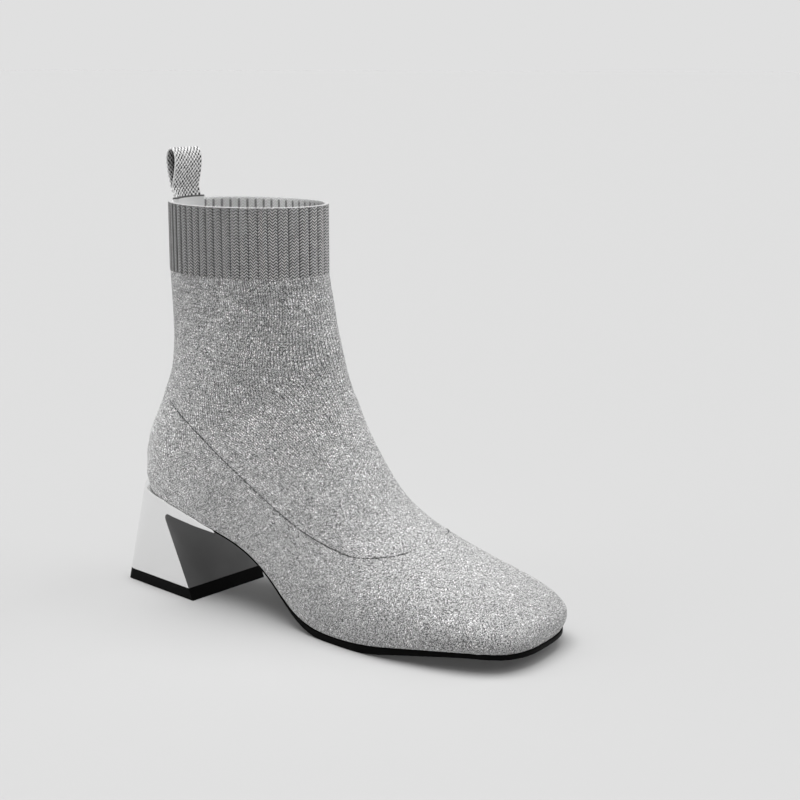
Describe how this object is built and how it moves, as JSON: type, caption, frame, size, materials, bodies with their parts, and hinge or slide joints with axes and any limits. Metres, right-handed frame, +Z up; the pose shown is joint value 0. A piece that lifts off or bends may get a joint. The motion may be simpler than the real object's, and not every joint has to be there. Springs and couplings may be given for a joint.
{
  "type": "block heel boot",
  "caption": "Pull-on knit ankle boot for the right foot with a ribbed cuff, a square toe, a pull loop and a notched plated block heel on a thin rubber sole.",
  "frame": {"origin": "middle of the boot's plan, on the floor it stands on", "axes": "+X from heel to toe, +Y to the inner (medial) side of the foot, +Z up"},
  "size_m": [0.256, 0.0902, 0.2376],
  "materials": {
    "upper_knit": "grey knit with a metallic thread",
    "insole_board": "covered board",
    "sole_rubber": "satin black",
    "heel_plating": "satin silver plating",
    "lift_rubber": "satin black",
    "loop_tape": "woven grey tape",
    "patch_tape": "plain smooth tape"
  },
  "bodies": {
    "root": {"upper": "upper_knit", "insole": "insole_board", "outsole": "sole_rubber", "heel": "heel_plating", "heel_top_lift": "lift_rubber", "pull_loop": "loop_tape", "collar_patch": "patch_tape"}
  },
  "joints": []
}
